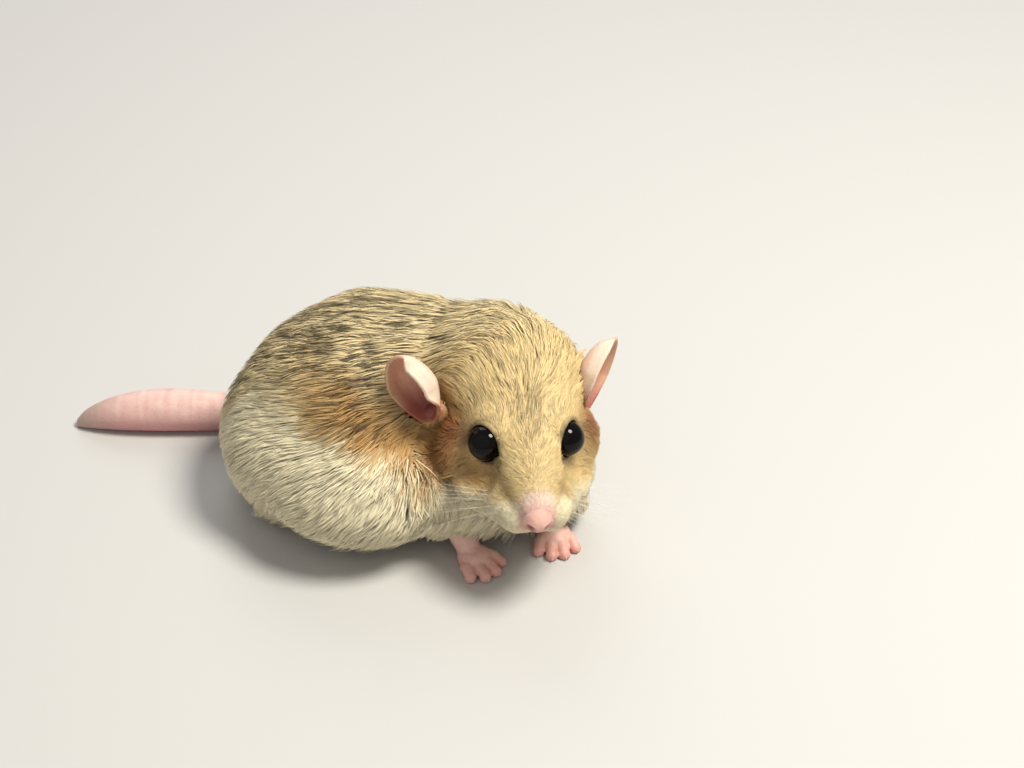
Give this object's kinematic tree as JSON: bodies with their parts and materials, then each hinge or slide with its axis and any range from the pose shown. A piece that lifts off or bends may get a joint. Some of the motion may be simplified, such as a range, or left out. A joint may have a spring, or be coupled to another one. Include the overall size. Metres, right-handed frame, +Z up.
{
  "type": "fat-tailed gerbil",
  "caption": "Life-size fat-tailed gerbil crouched on the floor, head raised and turned over its forepaws, with a plump bare tail laid out behind it.",
  "frame": {"origin": "on the floor, at the middle of the bounding box seen from above", "axes": "+Z up; +X along the animal's length, tail towards -X and head towards +X; the nose points towards -Y"},
  "size_m": [0.1054, 0.0624, 0.0405],
  "materials": {
    "fur_head": "soft short fur, buff with dark ticking, cream on cheeks and muzzle",
    "fur_body": "soft dense fur, buff with dark ticking above, white below",
    "bare_skin": "pink skin with very short pale hairs",
    "ear_skin": "thin pink skin, paler at the rim",
    "tail_skin": "smooth pink skin with faint rings, greyish at the tip",
    "eye": "wet glossy black"
  },
  "bodies": {
    "root": {"head": "fur_head", "neck": "fur_body", "torso": "fur_body", "foreleg_left": "fur_body", "foreleg_right": "fur_body", "hindleg_left": "fur_body", "hindleg_right": "fur_body", "forefoot_left": "bare_skin", "forefoot_right": "bare_skin", "hindfoot_left": "bare_skin", "hindfoot_right": "bare_skin", "ear_left": "ear_skin", "ear_right": "ear_skin", "tail": "tail_skin", "eye_left": "eye", "eye_right": "eye"}
  },
  "joints": []
}
